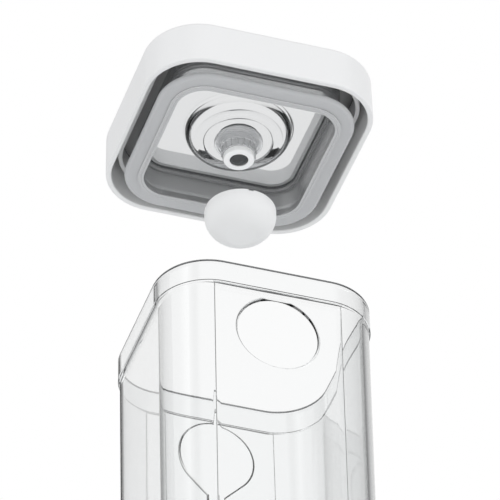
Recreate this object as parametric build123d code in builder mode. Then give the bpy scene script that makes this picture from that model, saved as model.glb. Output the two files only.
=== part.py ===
from build123d import *
import os
from math import cos, radians, sin, tan

# Square food canister with a vacuum lid, shown opened up: the lid is lifted straight
# off the canister, and the filter cap is pulled straight down off the lid's nozzle.
# Millimetres, +Z up, origin at the middle of the base, front wall towards -Y.

overrun = 5.0             # how far every cutting solid runs past the face it cuts
fit_gap = 0.3             # clearance between pieces that move apart
seat_gap = 0.3            # height left under a lid or cap when it is closed
run_gap = 0.05            # radial clearance of a round piece in its own hole

# Canister
canister_height = 190.0
rim_half = 57.5           # half the width across the rim band
rim_corner = 29.0
rim_height = 14.5
rim_edge = 0.5            # rounding of the rim band's edges
rim_step = 0.6            # the small second step under the rim band
rim_step_height = 1.3
mouth_wall = 3.2
mouth_depth = 14.6
mouth_slope = 1.6         # height of the slope between the mouth and the walls
body_ledge = 1.6          # the body stands in by this much under the rim band
body_corner = 24.5
wall = 3.0
draft = 0.25              # degrees that every wall leans in towards the base
cavity_corner = 22.5      # the walls are thicker at the corners than in the flats
panel_depth = 0.6         # the front and back walls have a flat sunk by this much
panel_half = 34.0         # half the width of the sunk flats
panel_foot = 9.0          # height at which the sunk flats begin
floor_thickness = 3.6
floor_round = 7.0
base_round = 4.0
foot_width = 9.0
foot_depth = 1.4
badge_radius = 22.8       # round recess on the front wall, and its twin behind
badge_drop = 38.7         # middle of the round recess below the rim's top
badge_depth = 1.5
badge_slope = 32.0        # degrees that the sides of the recesses lean
strip_width = 13.0        # level strip that runs down from the back recess
strip_foot = 26.0
neck_angle = 45.0         # degrees at which the back recess narrows to its strip

# Lid frame: heights are measured from the rim's top with the lid closed
lid_lift = 141.5          # how far the lid is shown above its closed place
lid_margin = 5.5          # how far the skirt stands out past the rim band
lid_corner = 30.5
lid_top = 16.5
skirt_low = -10.5
skirt_wall = 3.1
skirt_edge = 0.8
lid_draft = 0.6           # degrees that the skirt leans in towards the top
lid_edge = 3.2            # rounding round the lid's top
plate_thickness = 3.0
seat_rib = 2.2            # thickness of the rib that sits on the rim
opening_inset = 4.0       # the opening's edge stands in from the plug wall by this much
opening_lip = 2.0         # thickness of the lip that holds the window down
opening_edge = 1.0

# Plug ring and gasket
plug_low = -14.8
plug_wall = 3.4
plug_flange = 2.0
groove_depth = 0.6        # groove round the plug's foot that the gasket sits in
ledge_low = 1.5
ledge_thickness = 2.0
ledge_width = 1.6
gasket_low = -14.2
gasket_wall = 5.0
gasket_height = 5.0
gasket_edge = 0.4
lip_reach = 2.6           # how far the sealing lip stands out from the gasket
lip_thickness = 2.8
lip_slope = 1.9           # height over which the lip runs back to the gasket
lip_curve = 2.2           # rounding of the lip's underside

# Window and pump well
window_thickness = 2.4
window_gap = 0.4          # clearance between the window's edge and the plug wall
well_radius = 26.0
well_wall = 2.4
well_depth = 9.0
well_round = 6.5
well_lip = 2.0            # rounding where the well meets the window

# Nozzle
bore_radius = 5.0
housing_wall = 3.0
housing_flange = 3.4
flange_thickness = 1.6
nozzle_length = 13.5      # from the well's underside to the nozzle's tip
seal_height = 3.5
seal_wall = 1.5
seal_edge = 0.9
spigot_height = 2.6
ring_flange_radius = 13.0
ring_flange_thickness = 2.0
ring_edge = 0.5
collar_radius = 9.6
grip_count = 16
grip_radius = 0.55

# Valve
core_thickness = 2.8
core_edge = 0.8
slot_count = 6
slot_width = 1.5
slot_inner = 2.6
stem_radius = 1.5
guide_gap = 0.1           # radial clearance of the stem in its guide
disc_radius = 9.4
disc_thickness = 1.4
disc_edge = 0.8
bead_radius = 2.3
bead_height = 2.0
valve_travel = 2.0
valve_seat_gap = 0.15
tab_width = 9.0
tab_height = 4.2
tab_thickness = 1.8
tab_round = 2.5

# Filter cap
cap_radius = 19.0
cap_height = 16.5
cap_wall = 2.2
cap_flat = 7.0            # radius of the flat in the middle of the dome
cap_straight = 3.4        # height of the straight band at the cap's mouth
cap_lip_height = 2.2
cap_edge = 0.7
cap_drop = 49.0           # how far the cap is shown below its closed place
vent_count = 4
vent_width = 3.0
vent_depth = 1.2

# Worked out from the sizes above
corner_centre = rim_half - rim_corner
mouth_half = rim_half - mouth_wall
body_half = rim_half - body_ledge
body_height = canister_height - rim_height
body_corner_centre = body_half - body_corner
lean = tan(radians(draft))
base_half = body_half - body_height * lean
cavity_half = body_half - wall
cavity_corner_centre = cavity_half - cavity_corner
slope_z = canister_height - mouth_depth
cavity_height = slope_z - mouth_slope - floor_thickness
badge_z = canister_height - badge_drop
neck_half = badge_radius * sin(radians(neck_angle))
neck_drop = badge_radius * cos(radians(neck_angle))
neck_low = neck_drop + (neck_half - strip_width / 2) * tan(radians(neck_angle))

lid_half = rim_half + lid_margin
lid_z = canister_height + lid_lift
lid_top_z = lid_z + lid_top
plate_z = lid_top_z - plate_thickness
skirt_z = lid_z + skirt_low
seat_z = lid_z + seat_gap
seat_half = rim_half - fit_gap
lip_half = mouth_half - fit_gap
gasket_half = lip_half - lip_reach
groove_half = gasket_half - gasket_wall
plug_half = groove_half + groove_depth
plug_inner = plug_half - plug_wall
opening_half = plug_inner - opening_inset
gasket_z = lid_z + gasket_low
ledge_z = lid_z + ledge_low
window_z = ledge_z + ledge_thickness
window_top_z = window_z + window_thickness
well_z = window_z - well_depth
well_floor_z = well_z + well_wall

housing_radius = bore_radius + housing_wall
housing_top_z = well_floor_z + flange_thickness
tip_z = well_z - nozzle_length
seal_top_z = tip_z + seal_height
seal_radius = housing_radius + fit_gap
spigot_radius = seal_radius - seal_wall
ring_low_z = well_z - ring_flange_thickness
core_radius = bore_radius + core_edge
core_z = housing_top_z - core_thickness
disc_z = housing_top_z + valve_seat_gap
bead_top_z = core_z - valve_travel - fit_gap
cap_top_z = well_z - seat_gap - cap_drop
cap_low_z = cap_top_z - cap_height
cap_shoulder_z = cap_top_z - cap_straight
cap_lip_radius = ring_flange_radius + fit_gap
cap_inner = cap_radius - cap_wall


def rim_square(half, mode=Mode.ADD):
    """A square whose corner arcs share the rim's corner centres."""
    RectangleRounded(2 * half, 2 * half, half - corner_centre, mode=mode)


def body_square(half):
    """A square whose corner arcs share the body's corner centres."""
    RectangleRounded(2 * half, 2 * half, half - body_corner_centre)


def cavity_square(half):
    """A square whose corner arcs share the cavity's corner centres."""
    RectangleRounded(2 * half, 2 * half, half - cavity_corner_centre)


def lid_square(inset):
    """The lid's outline, drawn in by an inset."""
    half = lid_half - inset
    RectangleRounded(2 * half, 2 * half, lid_corner - inset)


def column(radius, low, high, mode=Mode.ADD):
    """A round column on the canister's axis, between two heights."""
    with Locations((0, 0, low)):
        Cylinder(radius, high - low, align=(Align.CENTER, Align.CENTER, Align.MIN), mode=mode)


def wall_plane(turn, depth=0):
    """The plane of one leaning wall at a depth, x along the wall and y up it."""
    outward = Vector(0, -cos(radians(draft)), -sin(radians(draft))).rotate(Axis.Z, turn)
    foot = Vector(0, -base_half, 0).rotate(Axis.Z, turn)
    wall_face = Plane(origin=foot, x_dir=Vector(1, 0, 0).rotate(Axis.Z, turn), z_dir=outward)
    return wall_face.offset(-depth)


# The inside of the canister: leaning walls, a slope, and a wider mouth for the lid's plug
with BuildPart() as cavity:
    with BuildSketch(Plane.XY.offset(floor_thickness)):
        cavity_square(cavity_half - cavity_height * lean)
    extrude(amount=cavity_height, taper=-draft)
    fillet(cavity.edges().group_by(Axis.Z)[0], floor_round)
    with BuildSketch(Plane.XY.offset(slope_z - mouth_slope)):
        cavity_square(cavity_half)
    with BuildSketch(Plane.XY.offset(slope_z)):
        rim_square(mouth_half)
    loft()
    with BuildSketch(Plane.XY.offset(slope_z)):
        rim_square(mouth_half)
    extrude(amount=mouth_depth + overrun)

# Canister: leaning body with sunk flats, recesses front and back, rim band and foot
with BuildPart() as canister:
    with BuildSketch():
        body_square(base_half)
    extrude(amount=body_height, taper=-draft)
    fillet(canister.edges().group_by(Axis.Z)[0], base_round)
    for turn in (0, 180):
        with BuildSketch(wall_plane(turn)):
            with Locations((0, (panel_foot + body_height + overrun) / 2)):
                Rectangle(2 * panel_half, body_height + overrun - panel_foot)
        extrude(amount=-panel_depth, mode=Mode.SUBTRACT)
    with BuildSketch(wall_plane(0, panel_depth)):
        with Locations((0, badge_z)):
            Circle(badge_radius)
    extrude(amount=-badge_depth, taper=badge_slope, mode=Mode.SUBTRACT)
    with BuildSketch(wall_plane(180, panel_depth)):
        with Locations((0, badge_z)):
            Circle(badge_radius)
        with BuildLine():
            Polyline((-neck_half, badge_z - neck_drop), (neck_half, badge_z - neck_drop),
                     (strip_width / 2, badge_z - neck_low),
                     (-strip_width / 2, badge_z - neck_low), close=True)
        make_face()
        with Locations((0, (badge_z + strip_foot) / 2)):
            Rectangle(strip_width, badge_z - strip_foot)
        with Locations((0, strip_foot)):
            Circle(strip_width / 2)
    extrude(amount=-badge_depth, taper=badge_slope, mode=Mode.SUBTRACT)
    with BuildSketch(Plane.XY.offset(body_height)):
        rim_square(rim_half - rim_step)
    extrude(amount=rim_height)
    with BuildSketch(Plane.XY.offset(body_height + rim_step_height)):
        rim_square(rim_half)
    extrude(amount=rim_height - rim_step_height)
    add(cavity.part, mode=Mode.SUBTRACT)
    fillet(canister.faces().sort_by(Axis.Z)[-1].edges(), rim_edge)
    with BuildSketch():
        body_square(base_half - foot_width)
    extrude(amount=foot_depth, mode=Mode.SUBTRACT)
canister.part.label = "canister"

# Lid frame: white cover with a deep skirt, a rib that sits on the rim, and a window lip
with BuildPart() as lid_frame:
    with BuildSketch(Plane.XY.offset(skirt_z)):
        lid_square(0)
    extrude(amount=lid_top_z - skirt_z, taper=lid_draft)
    fillet(lid_frame.edges().group_by(Axis.Z)[-1], lid_edge)
    with BuildSketch(Plane.XY.offset(skirt_z)):
        lid_square(skirt_wall)
    extrude(amount=plate_z - skirt_z, taper=lid_draft, mode=Mode.SUBTRACT)
    fillet(lid_frame.faces().sort_by(Axis.Z)[0].edges(), skirt_edge)
    with BuildSketch(Plane.XY.offset(seat_z)):
        rim_square(seat_half)
        rim_square(seat_half - seat_rib, mode=Mode.SUBTRACT)
    extrude(amount=plate_z - seat_z)
    with BuildSketch(Plane.XY.offset(window_top_z)):
        rim_square(opening_half + opening_lip)
    extrude(amount=plate_z - window_top_z)
    with BuildSketch(Plane.XY.offset(window_top_z)):
        rim_square(opening_half)
    extrude(amount=lid_top_z - window_top_z, mode=Mode.SUBTRACT)
    fillet(lid_frame.faces().sort_by(Axis.Z)[-1].inner_wires()[0].edges(), opening_edge)
lid_frame.part.label = "lid_frame"

# Plug ring: wall that goes into the mouth, flange under the cover, ledge for the window
with BuildPart() as lid_plug:
    with BuildSketch(Plane.XY.offset(lid_z + plug_low)):
        rim_square(plug_half)
    extrude(amount=plate_z - lid_z - plug_low)
    with BuildSketch(Plane.XY.offset(plate_z - plug_flange)):
        rim_square(seat_half - seat_rib - fit_gap)
    extrude(amount=plug_flange)
    with BuildSketch(Plane.XY.offset(ledge_z)):
        rim_square(plug_inner - ledge_width)
    extrude(amount=ledge_thickness, mode=Mode.SUBTRACT)
    with BuildSketch(Plane.XY.offset(lid_z + plug_low)):
        rim_square(plug_inner)
    extrude(amount=ledge_low - plug_low, mode=Mode.SUBTRACT)
    with BuildSketch(Plane.XY.offset(window_z)):
        rim_square(plug_inner)
    extrude(amount=plate_z - window_z, mode=Mode.SUBTRACT)
    with BuildSketch(Plane.XY.offset(gasket_z)):
        rim_square(plug_half + overrun)
        rim_square(groove_half, mode=Mode.SUBTRACT)
    extrude(amount=gasket_height, mode=Mode.SUBTRACT)
lid_plug.part.label = "lid_plug"

# Gasket: soft ring in the groove round the plug's foot, with one broad rounded lip
with BuildPart() as lid_gasket:
    with BuildSketch(Plane.XY.offset(gasket_z)):
        rim_square(lip_half)
    extrude(amount=lip_thickness)
    with BuildSketch(Plane.XY.offset(gasket_z + lip_thickness)):
        rim_square(lip_half)
    with BuildSketch(Plane.XY.offset(gasket_z + lip_thickness + lip_slope)):
        rim_square(gasket_half)
    loft()
    with BuildSketch(Plane.XY.offset(gasket_z + lip_thickness + lip_slope)):
        rim_square(gasket_half)
    extrude(amount=gasket_height - lip_thickness - lip_slope)
    with BuildSketch(Plane.XY.offset(gasket_z)):
        rim_square(groove_half)
    extrude(amount=gasket_height, mode=Mode.SUBTRACT)
    gasket_foot = lid_gasket.faces().sort_by(Axis.Z)[0]
    fillet(gasket_foot.outer_wire().edges(), lip_curve)
    fillet(lid_gasket.faces().sort_by(Axis.Z)[0].inner_wires()[0].edges(), gasket_edge)
lid_gasket.part.label = "lid_gasket"

# Window: clear panel on the plug's ledge, with the round pump well hanging under it
with BuildPart() as lid_window:
    with BuildSketch(Plane.XY.offset(window_z)):
        rim_square(plug_inner - window_gap)
    extrude(amount=window_thickness)
    column(well_radius + well_wall, well_z, window_z)
    fillet(lid_window.edges().group_by(Axis.Z)[0], well_round)
    fillet(lid_window.edges().filter_by(GeomType.CIRCLE).filter_by_position(
        Axis.Z, window_z, window_z).sort_by(SortBy.RADIUS)[-1], well_lip)
    column(well_radius, well_floor_z, window_top_z, mode=Mode.SUBTRACT)
    fillet(lid_window.edges().filter_by_position(
        Axis.Z, well_floor_z, well_floor_z), well_round - well_wall)
    column(housing_radius + run_gap, well_z - overrun, well_floor_z, mode=Mode.SUBTRACT)
    fillet(lid_window.faces().sort_by(Axis.Z)[-1].inner_wires()[0].edges(), well_lip)
lid_window.part.label = "lid_window"

# Valve housing: flanged tube through the floor of the well
with BuildPart() as valve_housing:
    column(housing_radius + housing_flange, well_floor_z, housing_top_z)
    column(housing_radius, seal_top_z, housing_top_z)
    column(spigot_radius, seal_top_z - spigot_height, housing_top_z)
    column(bore_radius, tip_z, housing_top_z, mode=Mode.SUBTRACT)
    column(core_radius, core_z, housing_top_z, mode=Mode.SUBTRACT)
valve_housing.part.label = "valve_housing"

# Lock ring: flange and ribbed collar that hold the housing from below
with BuildPart() as lock_ring:
    column(collar_radius, seal_top_z, well_z)
    with Locations((0, 0, seal_top_z)):
        with PolarLocations(collar_radius, grip_count):
            Cylinder(grip_radius, well_z - seal_top_z, align=(Align.CENTER, Align.CENTER, Align.MIN))
    column(ring_flange_radius, ring_low_z, well_z)
    fillet(lock_ring.edges().filter_by(GeomType.CIRCLE).filter_by_position(
        Axis.Z, ring_low_z, ring_low_z).sort_by(SortBy.RADIUS)[-1], ring_edge)
    column(housing_radius + run_gap, seal_top_z, well_z, mode=Mode.SUBTRACT)
lock_ring.part.label = "lock_ring"

# Nozzle seal: soft ring pushed on to the housing's end
with BuildPart() as nozzle_seal:
    column(seal_radius, tip_z, seal_top_z)
    column(spigot_radius, seal_top_z - spigot_height, seal_top_z, mode=Mode.SUBTRACT)
    column(bore_radius, tip_z, seal_top_z, mode=Mode.SUBTRACT)
    fillet(nozzle_seal.faces().sort_by(Axis.Z)[0].outer_wire().edges(), seal_edge)
nozzle_seal.part.label = "nozzle_seal"

# Valve core: slotted plate let into the housing's top, which guides the valve's stem
with BuildPart() as valve_core:
    column(core_radius - run_gap, core_z, housing_top_z)
    column(stem_radius + guide_gap, core_z, housing_top_z, mode=Mode.SUBTRACT)
    with BuildSketch(Plane.XY.offset(core_z)):
        with PolarLocations((slot_inner + bore_radius) / 2, slot_count):
            Rectangle(bore_radius - slot_inner, slot_width)
    extrude(amount=core_thickness, mode=Mode.SUBTRACT)
valve_core.part.label = "valve_core"

# Valve disc: soft disc over the slots, its stem and bead below, a pull tab above
with BuildPart() as valve_disc:
    column(disc_radius, disc_z, disc_z + disc_thickness)
    fillet(valve_disc.edges().group_by(Axis.Z)[-1], disc_edge)
    column(stem_radius, bead_top_z, disc_z)
    column(bead_radius, bead_top_z - bead_height, bead_top_z)
    with BuildSketch(Plane.XZ.offset(-tab_thickness / 2)):
        with Locations((0, disc_z + disc_thickness)):
            Rectangle(tab_width, tab_height, align=(Align.CENTER, Align.MIN))
    extrude(amount=tab_thickness)
    fillet(valve_disc.edges().filter_by(Axis.Y).group_by(Axis.Z)[-1], tab_round)
valve_disc.part.label = "valve_disc"

# Filter cap: soft dome whose lip closes round the lock ring's flange
with BuildPart() as filter_cap:
    with BuildSketch(Plane.XZ):
        with BuildLine():
            outer_dome = TangentArc(
                (cap_radius, cap_shoulder_z), (cap_flat, cap_low_z), tangent=(0, -1))
            Polyline((cap_flat, cap_low_z), (0, cap_low_z), (0, cap_low_z + cap_wall),
                     (cap_flat, cap_low_z + cap_wall))
            inner_dome = TangentArc(
                (cap_inner, cap_shoulder_z), (cap_flat, cap_low_z + cap_wall), tangent=(0, -1))
            Polyline((cap_inner, cap_shoulder_z), (cap_inner, cap_top_z - cap_lip_height),
                     (cap_lip_radius, cap_top_z - cap_lip_height), (cap_lip_radius, cap_top_z),
                     (cap_radius, cap_top_z), (cap_radius, cap_shoulder_z))
        make_face()
    revolve(axis=Axis.Z)
    fillet(filter_cap.faces().sort_by(Axis.Z)[-1].edges(), cap_edge)
    with Locations((0, 0, cap_top_z)):
        with PolarLocations(cap_lip_radius, vent_count):
            Box(2 * (cap_radius - cap_lip_radius) + overrun, vent_width, 2 * vent_depth,
                mode=Mode.SUBTRACT)
filter_cap.part.label = "filter_cap"

pieces = (canister, lid_frame, lid_plug, lid_gasket, lid_window, valve_housing, lock_ring,
          nozzle_seal, valve_core, valve_disc, filter_cap)
os.makedirs("parts", exist_ok=True)
for piece in pieces:
    export_step(piece.part, f"parts/{piece.part.label}.step")
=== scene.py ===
import math
import bpy
from mathutils import Matrix, Vector


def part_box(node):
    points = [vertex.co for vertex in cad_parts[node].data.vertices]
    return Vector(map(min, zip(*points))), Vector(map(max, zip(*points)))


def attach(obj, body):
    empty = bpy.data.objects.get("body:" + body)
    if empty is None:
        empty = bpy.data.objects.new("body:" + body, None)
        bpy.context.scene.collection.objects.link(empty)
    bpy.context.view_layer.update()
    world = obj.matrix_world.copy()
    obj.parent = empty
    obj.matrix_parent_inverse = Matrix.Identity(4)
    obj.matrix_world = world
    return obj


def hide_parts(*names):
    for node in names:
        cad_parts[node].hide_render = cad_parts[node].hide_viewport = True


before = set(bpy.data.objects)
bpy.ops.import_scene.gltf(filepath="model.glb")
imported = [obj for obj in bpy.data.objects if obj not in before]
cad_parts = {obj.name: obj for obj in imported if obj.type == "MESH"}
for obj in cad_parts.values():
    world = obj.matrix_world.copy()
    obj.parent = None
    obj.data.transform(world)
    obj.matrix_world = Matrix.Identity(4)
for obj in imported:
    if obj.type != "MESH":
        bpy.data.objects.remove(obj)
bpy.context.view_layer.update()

mm = 0.001

# Camera: far below the canister and to its front left, looking up through a long lens,
# so that the lid's underside, the cap and the canister's two near walls all show.
rim_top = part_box("canister")[1].z
camera_place = Vector((-599 * mm, -1758 * mm, rim_top - 1505 * mm))
camera_turn = math.radians(18.96)
camera_climb = math.radians(40.12)
camera_roll = math.radians(-1.42)
focal_pixels = 4635
photo_pixels = 500
sensor_width = 36
forward = Vector((math.sin(camera_turn) * math.cos(camera_climb),
                  math.cos(camera_turn) * math.cos(camera_climb), math.sin(camera_climb)))
level_right = forward.cross(Vector((0, 0, 1))).normalized()
level_up = level_right.cross(forward)
right = level_right * math.cos(camera_roll) + level_up * math.sin(camera_roll)
up = level_up * math.cos(camera_roll) - level_right * math.sin(camera_roll)
lens = bpy.data.cameras.new("camera")
lens.sensor_width = sensor_width
lens.lens = focal_pixels / photo_pixels * sensor_width
lens.clip_end = 20
camera = bpy.data.objects.new("camera", lens)
camera.matrix_world = Matrix.Translation(camera_place) @ Matrix(
    (right, up, -forward)).transposed().to_4x4()
bpy.context.scene.collection.objects.link(camera)
bpy.context.scene.camera = camera
bpy.context.scene.view_settings.view_transform = "Standard"

# Canister: one clear moulding, open at the top, with a thicker rim band outside its mouth.
# The front and back walls have a sunk flat with a shallow round recess in it, the back one
# with an upright strip under it, and the walls are thicker round the corners.
rim_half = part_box("canister")[1].x
rim_corner = 29 * mm
rim_centre = rim_half - rim_corner
rim_height = 14.5 * mm
rim_edge = 0.5 * mm
rim_step = 0.6 * mm
rim_step_height = 1.3 * mm
mouth_wall = 3.2 * mm
mouth_half = rim_half - mouth_wall
mouth_depth = 14.6 * mm
mouth_slope = 1.6 * mm
rim_overhang = 1.6 * mm
body_half = rim_half - rim_overhang
body_corner = 24.5 * mm
body_centre = body_half - body_corner
wall = 3 * mm
draft = math.radians(0.25)
lean = math.tan(draft)
cavity_corner = 22.5 * mm
panel_depth = 0.6 * mm
panel_slope = 1.05 * mm
panel_half = 34 * mm
panel_foot = 9 * mm
floor_thickness = 3.6 * mm
floor_round = 7 * mm
base_round = 4 * mm
foot_width = 9 * mm
foot_depth = 1.4 * mm
badge_radius = 22.8 * mm
badge_drop = 38.7 * mm
badge_depth = 1.5 * mm
badge_lip = 1.0 * mm
badge_lip_depth = 0.5 * mm
badge_lean = math.radians(32)
badge_slope = (badge_depth - badge_lip_depth) * math.tan(badge_lean)
neck_angle = math.radians(45)
strip_width = 13 * mm
strip_foot = 26 * mm
fit_gap = 0.3 * mm
skim = 0.05 * mm
corner_steps = 20
disc_steps = 96
fine_edge = 0.18 * mm
plastic_ior = 1.5
ripple_detail = 1.5
smear_detail = 6
smear_share = 0.4
inside_tint = (0.72, 0.74, 0.75, 1)
inside_density = 35


def pick_edges(piece, wanted):
    """Selects the edges of a piece that are wanted, and leaves it in edit mode."""
    bpy.ops.object.mode_set(mode="EDIT")
    bpy.ops.mesh.select_mode(type="EDGE")
    bpy.ops.mesh.select_all(action="DESELECT")
    bpy.ops.object.mode_set(mode="OBJECT")
    for edge in piece.data.edges:
        edge.select = wanted(edge)
    bpy.ops.object.mode_set(mode="EDIT")


def skin(name, loops, closed=False):
    """Models a piece as one skin over square loops with round corners.

    A loop is half its width, the distance of its corner arcs' centres from the middle,
    and its height. The loops are bridged while they stand well apart, and then each is
    moved to its height. A closed skin runs on from the last loop to the first.
    """
    bpy.ops.object.select_all(action="DESELECT")
    last = len(loops) - 1
    apart = 100 * mm
    for index, (half, centre, height) in enumerate(loops):
        bpy.ops.mesh.primitive_plane_add(size=2 * half, location=(0, 0, index * apart))
        if index == 0:
            piece = bpy.context.object
            bpy.ops.object.mode_set(mode="EDIT")
        bpy.ops.mesh.bevel(offset=half - centre, segments=corner_steps, affect="VERTICES")
        if closed or 0 < index < last:
            bpy.ops.mesh.delete(type="ONLY_FACE")
    bpy.ops.object.mode_set(mode="OBJECT")
    count = len(piece.data.vertices) // len(loops)

    def on_loops(edge, chosen):
        first, second = (vertex // count for vertex in edge.vertices)
        return first == second and first in chosen

    pairs = [(index, index + 1) for index in range(last)]
    if closed:
        pairs.append((last, 0))
    for pair in pairs:
        pick_edges(piece, lambda edge: on_loops(edge, pair))
        bpy.ops.mesh.bridge_edge_loops()
    for index, (half, centre, height) in enumerate(loops):
        pick_edges(piece, lambda edge: on_loops(edge, (index,)))
        bpy.ops.transform.translate(value=(0, 0, height - index * apart))
    bpy.ops.mesh.select_all(action="SELECT")
    bpy.ops.mesh.normals_make_consistent(inside=False)
    bpy.ops.object.mode_set(mode="OBJECT")
    piece.name = name
    return piece


def bend(half, centre, height, radius, start, end, steps=4):
    """Loops round an edge, from one angle to another, about the middle of its rounding."""
    angles = (math.radians(start + (end - start) * step / steps) for step in range(steps + 1))
    return [(half + radius * math.cos(angle), centre, height + radius * math.sin(angle))
            for angle in angles]


def finish_edges(piece, width, angle=35):
    """Rounds the sharp edges that are left, and shades the rest smooth."""
    bpy.ops.object.select_all(action="DESELECT")
    piece.select_set(True)
    bpy.context.view_layer.objects.active = piece
    bevel = piece.modifiers.new("edges", "BEVEL")
    bevel.width = width
    bevel.segments = 2
    bevel.limit_method = "ANGLE"
    bevel.angle_limit = math.radians(angle)
    bpy.ops.object.modifier_apply(modifier=bevel.name)
    bpy.ops.object.shade_smooth_by_angle(angle=math.radians(angle))
    flats = piece.modifiers.new("flats", "WEIGHTED_NORMAL")
    flats.keep_sharp = True
    bpy.ops.object.modifier_apply(modifier=flats.name)


def combine(piece, other, operation):
    """Takes another piece out of a piece, or joins it on, and deletes the other."""
    bpy.ops.object.select_all(action="DESELECT")
    piece.select_set(True)
    bpy.context.view_layer.objects.active = piece
    boolean = piece.modifiers.new("combine", "BOOLEAN")
    boolean.operation = operation
    boolean.solver = "EXACT"
    boolean.object = other
    bpy.ops.object.modifier_apply(modifier=boolean.name)
    bpy.data.objects.remove(other)


def add_block(width, height, place, turn=0):
    """A thin block laid flat, with its inner face at height zero."""
    bpy.ops.mesh.primitive_cube_add(size=1, location=(0, place, skim / 2),
                                    rotation=(0, 0, turn))
    bpy.context.object.scale = (width, height, skim)
    return bpy.context.object


def add_disc(radius, place):
    """A thin disc laid flat, with its inner face at height zero."""
    bpy.ops.mesh.primitive_cylinder_add(vertices=disc_steps, radius=radius, depth=skim,
                                        location=(0, place, skim / 2))
    return bpy.context.object


def carve(piece, cutter, side, inward, steps):
    """Sinks a recess in the front or back wall with a flat solid of its outline.

    The solid's inner face is inset and pushed in step by step, so that the recess's sides
    lean, and then the solid is stood up against the leaning wall.
    """
    bpy.ops.object.transform_apply()
    pick_edges(cutter, lambda edge: True)
    bpy.ops.mesh.dissolve_limited(angle_limit=math.radians(1))
    bpy.ops.mesh.select_mode(type="FACE")
    bpy.ops.mesh.select_all(action="DESELECT")
    bpy.ops.object.mode_set(mode="OBJECT")
    looks_down = -0.9
    for face in cutter.data.polygons:
        face.select = face.normal.z < looks_down
    bpy.ops.object.mode_set(mode="EDIT")
    for slope, depth in steps:
        bpy.ops.mesh.inset(thickness=slope, depth=depth)
    bpy.ops.object.mode_set(mode="OBJECT")
    cutter.location = (0, side * (base_half - inward), 0)
    cutter.rotation_euler = (math.radians(90) + draft, 0, 0 if side < 0 else math.pi)
    combine(piece, cutter, "DIFFERENCE")


rim_low = rim_top - rim_height
base_half = body_half - rim_low * lean
slope_top = rim_top - mouth_depth
slope_low = slope_top - mouth_slope
cavity_half = body_half - wall
cavity_foot = cavity_half - (slope_low - floor_thickness) * lean
cavity_centre = cavity_half - cavity_corner
loops = [(base_half - foot_width, body_centre, foot_depth),
         (base_half - foot_width, body_centre, 0)]
loops += bend(base_half - base_round, body_centre, base_round, base_round, -90, 0, steps=6)
loops += [(body_half, body_centre, rim_low),
          (rim_half - rim_step, rim_centre, rim_low),
          (rim_half - rim_step, rim_centre, rim_low + rim_step_height),
          (rim_half, rim_centre, rim_low + rim_step_height)]
loops += bend(rim_half - rim_edge, rim_centre, rim_top - rim_edge, rim_edge, 0, 90)
loops += bend(mouth_half + rim_edge, rim_centre, rim_top - rim_edge, rim_edge, 90, 180)
loops += [(mouth_half, rim_centre, slope_top), (cavity_half, cavity_centre, slope_low)]
loops += bend(cavity_foot - floor_round, cavity_centre, floor_thickness + floor_round,
              floor_round, 0, -90, steps=8)
canister = skin("canister_moulding", loops)

# Front and back, a flat and then a round recess. The back one narrows to the strip.
badge_height = rim_top - badge_drop
panel_top = rim_low + panel_slope
for side in (-1, 1):
    bpy.ops.object.select_all(action="DESELECT")
    flat = add_block(2 * panel_half, panel_top - panel_foot, (panel_top + panel_foot) / 2)
    carve(canister, flat, side, 0, [(panel_slope, panel_depth)])
    bpy.ops.object.select_all(action="DESELECT")
    recess = add_disc(badge_radius, badge_height)
    if side > 0:
        neck_place = badge_height - badge_radius * math.cos(neck_angle)
        combine(recess, add_block(badge_radius, badge_radius, neck_place, neck_angle), "UNION")
        combine(recess, add_block(strip_width, badge_height - strip_foot,
                                  (badge_height + strip_foot) / 2), "UNION")
        combine(recess, add_disc(strip_width / 2, strip_foot), "UNION")
    carve(canister, recess, side, panel_depth,
          [(badge_lip, badge_lip_depth), (badge_slope, badge_depth - badge_lip_depth)])
finish_edges(canister, fine_edge)
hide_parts("canister")
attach(canister, "canister")


def new_material(name, colour):
    """A node material of one colour, its tree and its main shader."""
    material = bpy.data.materials.new(name)
    material.use_nodes = True
    shader = material.node_tree.nodes["Principled BSDF"]
    shader.inputs["Base Color"].default_value = (*colour, 1)
    return material, material.node_tree, shader


def clear_plastic(name, colour, clearness=1.0):
    """A plastic that lets light through, as far as it is clear."""
    material, tree, shader = new_material(name, colour)
    shader.inputs["IOR"].default_value = plastic_ior
    shader.inputs["Transmission Weight"].default_value = clearness
    return material, tree, shader


def moulded_surface(tree, shader, ripple, ripple_size, rough):
    """Gives a moulding its faint ripple and a slightly uneven gloss."""
    coordinates = tree.nodes.new("ShaderNodeTexCoord")
    waves = tree.nodes.new("ShaderNodeTexNoise")
    waves.inputs["Scale"].default_value = 1 / ripple_size
    waves.inputs["Detail"].default_value = ripple_detail
    bump = tree.nodes.new("ShaderNodeBump")
    bump.inputs["Strength"].default_value = 1.0
    bump.inputs["Distance"].default_value = ripple
    smears = tree.nodes.new("ShaderNodeTexNoise")
    smears.inputs["Scale"].default_value = smear_share / ripple_size
    smears.inputs["Detail"].default_value = smear_detail
    gloss = tree.nodes.new("ShaderNodeMapRange")
    gloss.inputs["To Min"].default_value, gloss.inputs["To Max"].default_value = rough
    tree.links.new(coordinates.outputs["Object"], waves.inputs["Vector"])
    tree.links.new(coordinates.outputs["Object"], smears.inputs["Vector"])
    tree.links.new(waves.outputs["Fac"], bump.inputs["Height"])
    tree.links.new(bump.outputs["Normal"], shader.inputs["Normal"])
    tree.links.new(smears.outputs["Fac"], gloss.inputs["Value"])
    tree.links.new(gloss.outputs["Result"], shader.inputs["Roughness"])


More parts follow.
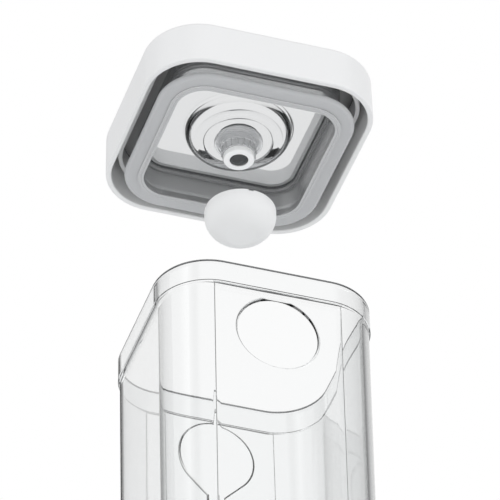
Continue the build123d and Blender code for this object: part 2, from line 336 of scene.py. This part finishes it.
def let_light_through(tree, shader, tint):
    """Lets lamps shine through a clear moulding instead of shading it black."""
    path = tree.nodes.new("ShaderNodeLightPath")
    hole = tree.nodes.new("ShaderNodeBsdfTransparent")
    hole.inputs["Color"].default_value = (*tint, 1)
    mix = tree.nodes.new("ShaderNodeMixShader")
    tree.links.new(path.outputs["Is Shadow Ray"], mix.inputs["Fac"])
    tree.links.new(shader.outputs["BSDF"], mix.inputs[1])
    tree.links.new(hole.outputs["BSDF"], mix.inputs[2])
    tree.links.new(mix.outputs["Shader"], tree.nodes["Material Output"].inputs["Surface"])


def darken_inside(tree):
    """Darkens light by the length of its way inside a clear moulding."""
    absorb = tree.nodes.new("ShaderNodeVolumeAbsorption")
    absorb.inputs["Color"].default_value = inside_tint
    absorb.inputs["Density"].default_value = inside_density
    tree.links.new(absorb.outputs["Volume"], tree.nodes["Material Output"].inputs["Volume"])


clear_material, tree, shader = clear_plastic("clear_canister", (0.985, 0.99, 0.99))
moulded_surface(tree, shader, ripple=0.01 * mm, ripple_size=22 * mm, rough=(0.0, 0.04))
let_light_through(tree, shader, (0.93, 0.94, 0.94))
darken_inside(tree)
canister.data.materials.append(clear_material)

# Lid frame: the white cover moulding. A deep skirt hangs outside the rim, a rib inside it
# sits on the rim, and a lip round the opening holds the window down.
frame_low, frame_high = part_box("lid_frame")
lid_margin = 5.5 * mm
lid_half = rim_half + lid_margin
lid_corner = 30.5 * mm
lid_centre = lid_half - lid_corner
lid_lean = math.tan(math.radians(0.6))
lid_edge = 3.2 * mm
skirt_wall = 3.1 * mm
skirt_edge = 0.8 * mm
plate_thickness = 3 * mm
opening_inset = 4 * mm
opening_lip = 2 * mm
opening_edge = 1 * mm
seat_outer = rim_half - fit_gap
seat_width = 2.2 * mm
seat_inner = seat_outer - seat_width
seat_rise = 10.8 * mm
gasket_low, gasket_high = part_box("lid_gasket")
lip_reach = 2.6 * mm
gasket_width = 5 * mm
gasket_groove = 0.6 * mm
plug_wall = 3.4 * mm
gasket_half = gasket_high.x - lip_reach
groove_half = gasket_half - gasket_width
plug_outer = groove_half + gasket_groove
plug_inner = plug_outer - plug_wall
opening_half = plug_inner - opening_inset
window_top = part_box("lid_window")[1].z
plate_low = frame_high.z - plate_thickness
draw_in = (frame_high.z - lid_edge - frame_low.z) * lid_lean
loops = bend(lid_half - skirt_edge, lid_centre, frame_low.z + skirt_edge, skirt_edge, -90, 0)
loops += bend(lid_half - draw_in - lid_edge, lid_centre, frame_high.z - lid_edge,
              lid_edge, 0, 90, steps=8)
loops += bend(opening_half + opening_edge, rim_centre, frame_high.z - opening_edge,
              opening_edge, 90, 180)
loops += [(opening_half, rim_centre, window_top),
          (opening_half + opening_lip, rim_centre, window_top),
          (opening_half + opening_lip, rim_centre, plate_low),
          (seat_inner, rim_centre, plate_low),
          (seat_inner, rim_centre, frame_low.z + seat_rise),
          (seat_outer, rim_centre, frame_low.z + seat_rise),
          (seat_outer, rim_centre, plate_low),
          (lid_half - skirt_wall - draw_in, lid_centre, plate_low)]
loops += bend(lid_half - skirt_wall + skirt_edge, lid_centre, frame_low.z + skirt_edge,
              skirt_edge, 180, 270)
lid_cover = skin("lid_cover", loops, closed=True)
finish_edges(lid_cover, fine_edge)
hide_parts("lid_frame")
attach(lid_cover, "lid")
cover_material, tree, shader = new_material("white_satin_plastic", (0.80, 0.80, 0.795))
moulded_surface(tree, shader, ripple=0.004 * mm, ripple_size=0.7 * mm, rough=(0.36, 0.5))
lid_cover.data.materials.append(cover_material)

# Plug ring: grey moulding under the cover, with the wall that goes into the mouth and
# an inward ledge that carries the window. A fine bead runs under the wall's foot, where
# the plastic is cloudier.
plug_low, plug_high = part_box("lid_plug")
plug_flange = 2 * mm
ledge_width = 1.6 * mm
ledge_half = plug_inner - ledge_width
ledge_thickness = 2 * mm
well_drop = 9 * mm
window_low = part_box("lid_window")[0].z + well_drop
ledge_low = window_low - ledge_thickness
foot_bead = 0.35 * mm
clouded_foot = 1.2 * mm
foot_clearness = 0.3
plug_clearness = 0.8
bead_place = (plug_outer + plug_inner) / 2
loops = bend(bead_place, rim_centre, plug_low.z, foot_bead, 180, 360)
loops += [(plug_outer, rim_centre, plug_low.z),
         (plug_outer, rim_centre, gasket_low.z),
         (groove_half, rim_centre, gasket_low.z),
         (groove_half, rim_centre, gasket_high.z),
         (plug_outer, rim_centre, gasket_high.z),
         (plug_outer, rim_centre, plug_high.z - plug_flange),
         (plug_high.x, rim_centre, plug_high.z - plug_flange),
         (plug_high.x, rim_centre, plug_high.z),
         (plug_inner, rim_centre, plug_high.z),
         (plug_inner, rim_centre, window_low),
         (ledge_half, rim_centre, window_low),
         (ledge_half, rim_centre, ledge_low),
         (plug_inner, rim_centre, ledge_low),
         (plug_inner, rim_centre, plug_low.z)]
plug = skin("plug_ring", loops, closed=True)
finish_edges(plug, fine_edge)
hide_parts("lid_plug")
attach(plug, "lid")
plug_material, tree, shader = clear_plastic("grey_plug_plastic", (0.7, 0.705, 0.71),
                                            clearness=plug_clearness)
moulded_surface(tree, shader, ripple=0.004 * mm, ripple_size=1.2 * mm, rough=(0.1, 0.22))
coordinates = tree.nodes.new("ShaderNodeTexCoord")
parts = tree.nodes.new("ShaderNodeSeparateXYZ")
clouding = tree.nodes.new("ShaderNodeMapRange")
clouding.inputs["From Min"].default_value = plug_low.z
clouding.inputs["From Max"].default_value = plug_low.z + clouded_foot
clouding.inputs["To Min"].default_value = foot_clearness
clouding.inputs["To Max"].default_value = plug_clearness
tree.links.new(coordinates.outputs["Object"], parts.inputs["Vector"])
tree.links.new(parts.outputs["Z"], clouding.inputs["Value"])
tree.links.new(clouding.outputs["Result"], shader.inputs["Transmission Weight"])
plug.data.materials.append(plug_material)

# Gasket: pale grey silicone ring, sprung into a groove round the foot of the plug wall.
# Its one broad lip, rounded below, seals against the canister's mouth.
gasket_edge = 0.4 * mm
lip_curve = 2.2 * mm
lip_thickness = 2.8 * mm
lip_slope = 1.9 * mm
loops = bend(gasket_high.x - lip_curve, rim_centre, gasket_low.z + lip_curve,
             lip_curve, -90, 0, steps=8)
loops += [(gasket_high.x, rim_centre, gasket_low.z + lip_thickness),
          (gasket_half, rim_centre, gasket_low.z + lip_thickness + lip_slope),
          (gasket_half, rim_centre, gasket_high.z), (groove_half, rim_centre, gasket_high.z)]
loops += bend(groove_half + gasket_edge, rim_centre, gasket_low.z + gasket_edge,
              gasket_edge, 180, 270, steps=3)
gasket = skin("gasket_ring", loops, closed=True)
finish_edges(gasket, fine_edge)
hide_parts("lid_gasket")
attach(gasket, "lid")


def silicone(name, colour, softness, reach):
    """A rubber that light goes a little way into."""
    material, tree, shader = new_material(name, colour)
    shader.inputs["Subsurface Weight"].default_value = softness
    shader.inputs["Subsurface Radius"].default_value = (1, 1, 1)
    shader.inputs["Subsurface Scale"].default_value = reach
    return material, tree, shader


gasket_material, tree, shader = silicone("pale_grey_silicone", (0.46, 0.465, 0.47),
                                         softness=0.3, reach=2 * mm)
moulded_surface(tree, shader, ripple=0.006 * mm, ripple_size=1.6 * mm, rough=(0.38, 0.55))
gasket.data.materials.append(gasket_material)

# Window: clear panel that rests on the plug's ledge. The round pump well is moulded into
# it, with a rounded foot and a fine groove under its floor, and the valve housing passes
# through a hole in the floor.
window_lowest, window_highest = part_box("lid_window")
window_half = window_highest.x
well_radius = 26 * mm
well_wall = 2.4 * mm
well_round = 6.5 * mm
well_inner_round = 2.6 * mm
lip_round = 2 * mm
well_ring = 18.4 * mm
well_groove = 0.8 * mm
groove_depth = 0.5 * mm
hole_radius = 8.05 * mm
round_centre = 0.02 * mm
well_outer = well_radius + well_wall
well_floor = window_lowest.z + well_wall
loops = [(window_half, rim_centre, window_low)]
loops += bend(well_outer + lip_round, round_centre, window_low - lip_round, lip_round, 90, 180)
loops += bend(well_outer - well_round, round_centre, window_lowest.z + well_round,
              well_round, 0, -90, steps=8)
loops += [(well_ring + well_groove, round_centre, window_lowest.z),
          (well_ring, round_centre, window_lowest.z + groove_depth),
          (well_ring - well_groove, round_centre, window_lowest.z),
          (hole_radius, round_centre, window_lowest.z), (hole_radius, round_centre, well_floor)]
loops += bend(well_radius - well_inner_round, round_centre, well_floor + well_inner_round,
              well_inner_round, -90, 0, steps=8)
loops += bend(well_radius + lip_round, round_centre, window_highest.z - lip_round,
              lip_round, 180, 90)
loops += [(window_half, rim_centre, window_highest.z)]
window = skin("window_panel", loops, closed=True)
finish_edges(window, fine_edge)
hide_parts("lid_window")
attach(window, "lid")
window_material, tree, shader = clear_plastic("clear_window", (0.84, 0.845, 0.85))
moulded_surface(tree, shader, ripple=0.012 * mm, ripple_size=15 * mm, rough=(0.0, 0.05))
let_light_through(tree, shader, (0.9, 0.91, 0.91))
darken_inside(tree)
window.data.materials.append(window_material)

# Valve housing: tube through the well's floor, three quarters clear and tinted dark grey as
# painted shade for the inside of the nozzle and the streaks seen through the collar, with a
# flange that lies on the floor and a stepped end below that the nozzle seal is pushed over.
housing_low, housing_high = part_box("valve_housing")
bore_radius = 5 * mm
housing_radius = 8 * mm
spigot_radius = 6.8 * mm
spigot_height = 2.6 * mm
core_radius = 5.8 * mm
core_depth = 2.8 * mm
loops = [(radius, round_centre, height) for radius, height in (
    (bore_radius, housing_low.z), (spigot_radius, housing_low.z),
    (spigot_radius, housing_low.z + spigot_height),
    (housing_radius, housing_low.z + spigot_height),
    (housing_radius, well_floor), (housing_high.x, well_floor),
    (housing_high.x, housing_high.z), (core_radius, housing_high.z),
    (core_radius, housing_high.z - core_depth), (bore_radius, housing_high.z - core_depth))]
housing = skin("valve_tube", loops, closed=True)
finish_edges(housing, fine_edge)
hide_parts("valve_housing")
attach(housing, "lid")
# The dark grey tint is painted shade inside the nozzle and behind the clear collar.
housing_shade_material, tree, shader = clear_plastic("tube_painted_shade_grey", (0.42, 0.425, 0.43),
                                               clearness=0.75)
moulded_surface(tree, shader, ripple=0.006 * mm, ripple_size=2.5 * mm, rough=(0.08, 0.2))
housing.data.materials.append(housing_shade_material)

# Lock ring: clear flange and collar under the well. A fine bead runs round the flange,
# and the collar's narrower foot is ribbed for the fingers.
ring_low, ring_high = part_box("lock_ring")
collar_radius = 9.6 * mm
flange_thickness = 2 * mm
flange_edge = 0.5 * mm
flange_bead = 0.45 * mm
bead_radius = 11.6 * mm
grip_count = 16
grip_sides = 16
grip_radius = 0.55 * mm
grip_place = 9 * mm
grip_height = 4.6 * mm
collar_step = collar_radius - grip_place
flange_low = ring_high.z - flange_thickness
loops = [(hole_radius, round_centre, ring_low.z), (grip_place, round_centre, ring_low.z),
         (grip_place, round_centre, ring_low.z + grip_height),
         (collar_radius, round_centre, ring_low.z + grip_height + collar_step),
         (collar_radius, round_centre, flange_low)]
loops += bend(bead_radius, round_centre, flange_low, flange_bead, 180, 360)
loops += bend(ring_high.x - flange_edge, round_centre, flange_low + flange_edge,
              flange_edge, -90, 0, steps=3)
loops += [(ring_high.x, round_centre, ring_high.z), (hole_radius, round_centre, ring_high.z)]
lock_ring = skin("lock_collar", loops, closed=True)
for index in range(grip_count):
    angle = 2 * math.pi * index / grip_count
    bpy.ops.mesh.primitive_cylinder_add(
        vertices=grip_sides, radius=grip_radius, depth=grip_height,
        location=(grip_place * math.cos(angle), grip_place * math.sin(angle),
                  ring_low.z + grip_height / 2))
    combine(lock_ring, bpy.context.object, "UNION")
finish_edges(lock_ring, fine_edge / 2)
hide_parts("lock_ring")
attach(lock_ring, "lid")
ring_material, tree, shader = clear_plastic("clear_ring_plastic", (0.9, 0.905, 0.91),
                                            clearness=0.7)
moulded_surface(tree, shader, ripple=0.006 * mm, ripple_size=2.5 * mm, rough=(0.03, 0.1))
let_light_through(tree, shader, (0.85, 0.86, 0.86))
lock_ring.data.materials.append(ring_material)

# Nozzle seal: pale silicone ring over the housing's stepped end, with a rounded tip.
seal_low, seal_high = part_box("nozzle_seal")
seal_edge = 0.9 * mm
loops = [(bore_radius, round_centre, seal_low.z)]
loops += bend(seal_high.x - seal_edge, round_centre, seal_low.z + seal_edge,
              seal_edge, -90, 0, steps=5)
loops += [(seal_high.x, round_centre, seal_high.z), (spigot_radius, round_centre, seal_high.z),
          (spigot_radius, round_centre, seal_high.z - spigot_height),
          (bore_radius, round_centre, seal_high.z - spigot_height)]
nozzle_seal = skin("nozzle_ring", loops, closed=True)
finish_edges(nozzle_seal, fine_edge)
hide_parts("nozzle_seal")
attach(nozzle_seal, "lid")
seal_material, tree, shader = silicone("pale_nozzle_silicone", (0.88, 0.88, 0.875),
                                       softness=0.3, reach=1.5 * mm)
moulded_surface(tree, shader, ripple=0.006 * mm, ripple_size=1.2 * mm, rough=(0.38, 0.55))
nozzle_seal.data.materials.append(seal_material)

# Valve core and disc: both keep their CAD shapes. The core is coloured dark as painted
# shade at the bottom of the nozzle's hole, and the disc is of the gasket's silicone.
# The core's dark colour is painted shade at the bottom of the nozzle's hole.
core_shade_material, tree, shader = new_material("core_painted_shade", (0.2, 0.2, 0.2))
moulded_surface(tree, shader, ripple=0.004 * mm, ripple_size=0.8 * mm, rough=(0.35, 0.5))
for name, material in (("valve_core", core_shade_material), ("valve_disc", gasket_material)):
    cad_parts[name].data.materials.clear()
    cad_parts[name].data.materials.append(material)

# Filter cap: white silicone dome, open at the top, whose lip closes round the lock ring.
# Four small vents in its mouth let the air in.
cap_low, cap_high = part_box("filter_cap")
cap_wall = 2.2 * mm
cap_flat = 7 * mm
cap_straight = 3.4 * mm
cap_lip_height = 2.2 * mm
cap_edge = 0.7 * mm
cap_lip_radius = 13.3 * mm
vent_width = 3 * mm
vent_depth = 1.2 * mm
cap_radius = cap_high.x
vent_length = 3 * cap_radius
cap_inner = cap_radius - cap_wall
shoulder = cap_high.z - cap_straight


def dome(radius, depth):
    """The rounding of a dome: its radius, the middle of it, and the angle where it ends."""
    reach = radius - cap_flat
    rounding = (reach ** 2 + depth ** 2) / (2 * reach)
    return radius - rounding, rounding, math.degrees(math.asin(depth / rounding))


middle, rounding, angle = dome(cap_radius, shoulder - cap_low.z)
loops = bend(middle, round_centre, shoulder, rounding, -angle, 0, steps=14)
loops += bend(cap_radius - cap_edge, round_centre, cap_high.z - cap_edge, cap_edge, 0, 90)
loops += bend(cap_lip_radius + cap_edge, round_centre, cap_high.z - cap_edge, cap_edge, 90, 180)
loops += [(cap_lip_radius, round_centre, cap_high.z - cap_lip_height),
          (cap_inner, round_centre, cap_high.z - cap_lip_height)]
middle, rounding, angle = dome(cap_inner, shoulder - cap_low.z - cap_wall)
loops += bend(middle, round_centre, shoulder, rounding, 0, -angle, steps=10)
cap = skin("cap_dome", loops)
for turn in (0, 90):
    bpy.ops.mesh.primitive_cube_add(size=1, location=(0, 0, cap_high.z))
    vent = bpy.context.object
    vent.scale = (vent_length, vent_width, 2 * vent_depth)
    vent.rotation_euler = (0, 0, math.radians(turn))
    combine(cap, vent, "DIFFERENCE")
finish_edges(cap, fine_edge)
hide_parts("filter_cap")
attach(cap, "cap")
cap_material, tree, shader = silicone("white_silicone", (0.78, 0.78, 0.775),
                                      softness=0.25, reach=2 * mm)
moulded_surface(tree, shader, ripple=0.006 * mm, ripple_size=1.1 * mm, rough=(0.45, 0.6))
cap.data.materials.append(cap_material)

# Floor: a wide pale sheet that shows only from above, so that the view from below looks
# straight through it. Lamps under it shine through, and what is mirrored shows it darker.
floor_size = 12
floor_pale = (0.9, 0.9, 0.9, 1)
floor_mirrored = (0.2, 0.2, 0.2, 1)
colour_share, colour_first, colour_second, colour_mixed = 0, 6, 7, 2
bpy.ops.object.select_all(action="DESELECT")
bpy.ops.mesh.primitive_plane_add(size=floor_size, location=(0, 0, 0))
floor = bpy.context.object
floor.name = "floor"
floor_material = bpy.data.materials.new("pale_floor")
floor_material.use_nodes = True
tree = floor_material.node_tree
tree.nodes.clear()
output = tree.nodes.new("ShaderNodeOutputMaterial")
pale = tree.nodes.new("ShaderNodeBsdfDiffuse")
hole = tree.nodes.new("ShaderNodeBsdfTransparent")
side = tree.nodes.new("ShaderNodeNewGeometry")
path = tree.nodes.new("ShaderNodeLightPath")
open_side = tree.nodes.new("ShaderNodeMath")
open_side.operation = "MAXIMUM"
shade = tree.nodes.new("ShaderNodeMix")
shade.data_type = "RGBA"
shade.inputs[colour_first].default_value = floor_pale
shade.inputs[colour_second].default_value = floor_mirrored
tree.links.new(path.outputs["Glossy Depth"], shade.inputs[colour_share])
tree.links.new(shade.outputs[colour_mixed], pale.inputs["Color"])
mix = tree.nodes.new("ShaderNodeMixShader")
tree.links.new(side.outputs["Backfacing"], open_side.inputs[0])
tree.links.new(path.outputs["Is Shadow Ray"], open_side.inputs[1])
tree.links.new(open_side.outputs["Value"], mix.inputs["Fac"])
tree.links.new(pale.outputs["BSDF"], mix.inputs[1])
tree.links.new(hole.outputs["BSDF"], mix.inputs[2])
tree.links.new(mix.outputs["Shader"], output.inputs["Surface"])
floor.data.materials.append(floor_material)

# World: white to the eye, and a softer level as light. What is clear or glossy sees it
# with a dark screen on each side, a dark strip to the left and a dark ceiling, which draw
# the clear walls' edges. Light mirrored on its way through clear plastic comes out darker.
side_from, side_to = 0.5, 0.72
rise_from, rise_to = 0.1, 0.5
ceiling_from, ceiling_to = 0.88, 0.97
strip_place = 0.3
strip_core, strip_reach = 0.04, 0.17
screen_dark = 0.85
screen_low = 0.1
inner_dark = 0.8
inner_share = 0.5
sky_colour = (0.97, 0.98, 1.0, 1)
sky_level = 0.85
world = bpy.data.worlds.new("studio")
bpy.context.scene.world = world
world.use_nodes = True
tree = world.node_tree
tree.nodes.clear()


def math_node(operation, first, second):
    """A math node between two values or sockets."""
    node = tree.nodes.new("ShaderNodeMath")
    node.operation = operation
    for socket, value in zip(node.inputs, (first, second)):
        if isinstance(value, bpy.types.NodeSocket):
            tree.links.new(value, socket)
        else:
            socket.default_value = value
    return node.outputs["Value"]


def ramp(value, low, high, to_low, to_high):
    """A smooth step of a value from one level to another."""
    node = tree.nodes.new("ShaderNodeMapRange")
    node.interpolation_type = "SMOOTHSTEP"
    node.inputs["From Min"].default_value = low
    node.inputs["From Max"].default_value = high
    node.inputs["To Min"].default_value = to_low
    node.inputs["To Max"].default_value = to_high
    tree.links.new(value, node.inputs["Value"])
    return node.outputs["Result"]


coordinates = tree.nodes.new("ShaderNodeTexCoord")
across = tree.nodes.new("ShaderNodeVectorMath")
across.operation = "DOT_PRODUCT"
across.inputs[1].default_value = (math.cos(camera_turn), -math.sin(camera_turn), 0)
tree.links.new(coordinates.outputs["Generated"], across.inputs[0])
parts = tree.nodes.new("ShaderNodeSeparateXYZ")
tree.links.new(coordinates.outputs["Generated"], parts.inputs["Vector"])
aside = math_node("ABSOLUTE", across.outputs["Value"], 0)
sideways = ramp(aside, side_from, side_to, 0, 1)
upward = ramp(parts.outputs["Z"], rise_from, rise_to, screen_low, 1)
ceiling = ramp(parts.outputs["Z"], ceiling_from, ceiling_to, 0, 1)
from_strip = math_node("ABSOLUTE", math_node("ADD", across.outputs["Value"], strip_place), 0)
strip = ramp(from_strip, strip_core, strip_reach, 1, 0)
path = tree.nodes.new("ShaderNodeLightPath")
unseen = math_node("SUBTRACT", 1, path.outputs["Is Camera Ray"])
screens = math_node("MULTIPLY", math_node("MAXIMUM", sideways, strip), upward)
dark = math_node("MAXIMUM", screens, ceiling)
screen = math_node("MULTIPLY", dark, unseen)
turns = math_node("MULTIPLY", path.outputs["Glossy Depth"], inner_share)
thrown = math_node("MULTIPLY", math_node("MINIMUM", turns, 1),
                   path.outputs["Is Transmission Ray"])
lit = math_node("MULTIPLY", math_node("SUBTRACT", 1, math_node("MULTIPLY", screen, screen_dark)),
                math_node("SUBTRACT", 1, math_node("MULTIPLY", thrown, inner_dark)))
output = tree.nodes.new("ShaderNodeOutputWorld")
seen = tree.nodes.new("ShaderNodeBackground")
seen.inputs["Color"].default_value = (1, 1, 1, 1)
tree.links.new(lit, seen.inputs["Strength"])
sky = tree.nodes.new("ShaderNodeBackground")
sky.inputs["Color"].default_value = sky_colour
sky.inputs["Strength"].default_value = sky_level
mix = tree.nodes.new("ShaderNodeMixShader")
sharp = math_node("MAXIMUM", math_node("MAXIMUM", path.outputs["Is Camera Ray"],
                                       path.outputs["Is Glossy Ray"]),
                  path.outputs["Is Transmission Ray"])
tree.links.new(sharp, mix.inputs["Fac"])
tree.links.new(sky.outputs["Background"], mix.inputs[1])
tree.links.new(seen.outputs["Background"], mix.inputs[2])
tree.links.new(mix.outputs["Shader"], output.inputs["Surface"])

# Lamps: three large soft lamps, one at the front right, one high on the left, and one
# below the floor at the front.
lamp_target = Vector((0, 0, 0.24))


def lamp(name, place, size, power):
    """A soft square lamp that points into the gap between the canister and the lid."""
    data = bpy.data.lights.new(name, "AREA")
    data.size = size
    data.energy = power
    thing = bpy.data.objects.new(name, data)
    thing.location = place
    thing.rotation_euler = (lamp_target - Vector(place)).to_track_quat("-Z", "Y").to_euler()
    thing.visible_glossy = False
    bpy.context.scene.collection.objects.link(thing)


lamp("key", (1.5, -1.5, 0.8), size=1.0, power=7)
lamp("top", (-1.1, -0.2, 1.3), size=1.0, power=3)
lamp("table", (-0.5, -1.3, -1.2), size=1.5, power=8)
